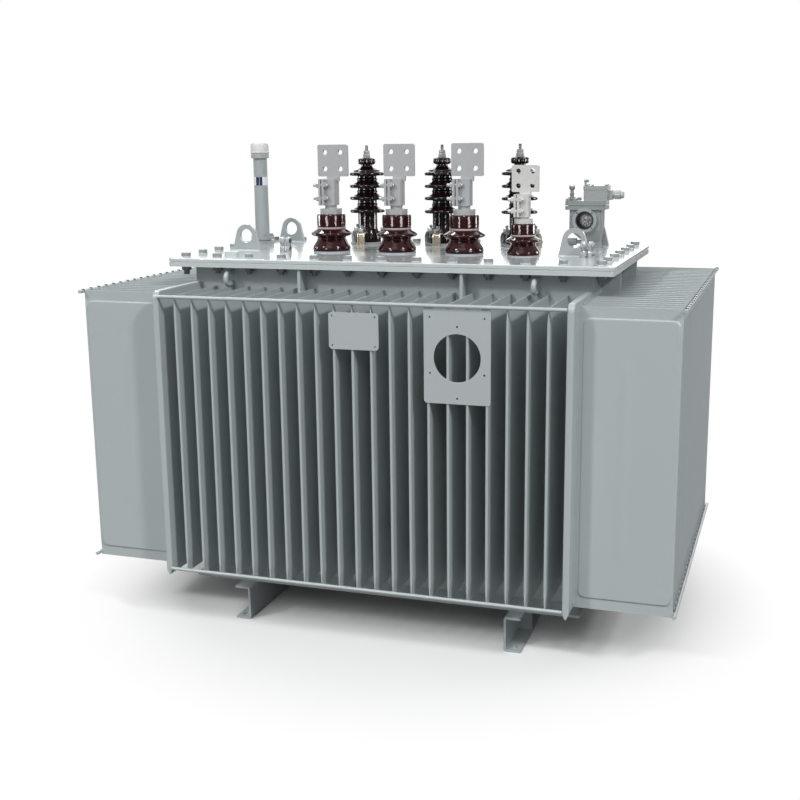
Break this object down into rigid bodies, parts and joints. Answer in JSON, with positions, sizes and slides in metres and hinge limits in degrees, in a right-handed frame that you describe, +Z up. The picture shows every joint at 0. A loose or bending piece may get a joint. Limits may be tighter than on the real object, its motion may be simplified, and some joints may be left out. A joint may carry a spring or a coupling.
{
  "type": "power transformer",
  "caption": "Oil-filled power transformer: corrugated tank on skids, flanged cover with porcelain bushings, flag terminals, lifting lugs, filler pipe and protection relay.",
  "frame": {"origin": "centre of the footprint, on the floor under the skids", "axes": "+X along the long front, to the right seen from the front; +Y from the front (low-voltage side) to the rear; +Z up"},
  "size_m": [2.1016, 1.3986, 1.7045],
  "materials": {
    "tank_paint": "pale grey enamel, satin, smoother and paler on the cover",
    "gasket_rubber": "black oil-resistant rubber",
    "red_brown_porcelain": "glossy red-brown glaze",
    "dark_brown_porcelain": "glossy near-black brown glaze",
    "bare_aluminium": "cast and machined, light grey",
    "terminal_brass": "tinned brass, dull",
    "sight_glass": "clear sight glass",
    "white_plastic": "off-white moulded cap",
    "plate_metal": "blank plate carrier, grey"
  },
  "bodies": {
    "root": {"tank_body": "tank_paint", "bottom_plate": "tank_paint", "tank_flange": "tank_paint", "cover_plate": "tank_paint", "front_fin_bank": "tank_paint", "rear_fin_bank": "tank_paint", "left_fin_bank": "tank_paint", "right_fin_bank": "tank_paint", "left_end_panels": "tank_paint", "right_end_panels": "tank_paint", "front_tie_bars": "tank_paint", "rear_tie_bars": "tank_paint", "left_tie_bars": "tank_paint", "right_tie_bars": "tank_paint", "left_skid": "tank_paint", "right_skid": "tank_paint", "lifting_lugs": "tank_paint", "flange_ribs": "tank_paint", "lashing_hooks": "tank_paint", "gauge_plate": "tank_paint", "earthing_pad": "tank_paint", "filler_pipe": "tank_paint", "relay_body": "tank_paint", "relay_terminal_box": "tank_paint", "cover_gasket": "gasket_rubber", "lv_bushing_1": "red_brown_porcelain", "lv_bushing_2": "red_brown_porcelain", "lv_bushing_3": "red_brown_porcelain", "neutral_bushing": "red_brown_porcelain", "hv_bushing_1": "dark_brown_porcelain", "hv_bushing_2": "dark_brown_porcelain", "hv_bushing_3": "dark_brown_porcelain", "lv_base_rings": "bare_aluminium", "lv_connector_1": "bare_aluminium", "lv_connector_2": "bare_aluminium", "lv_connector_3": "bare_aluminium", "neutral_connector": "bare_aluminium", "hv_clamp_rings": "bare_aluminium", "thermometer_pockets": "bare_aluminium", "hv_terminals": "terminal_brass", "relay_vent_valve": "terminal_brass", "relay_window": "sight_glass", "filler_cap": "white_plastic", "rating_plate": "plate_metal"}
  },
  "joints": []
}
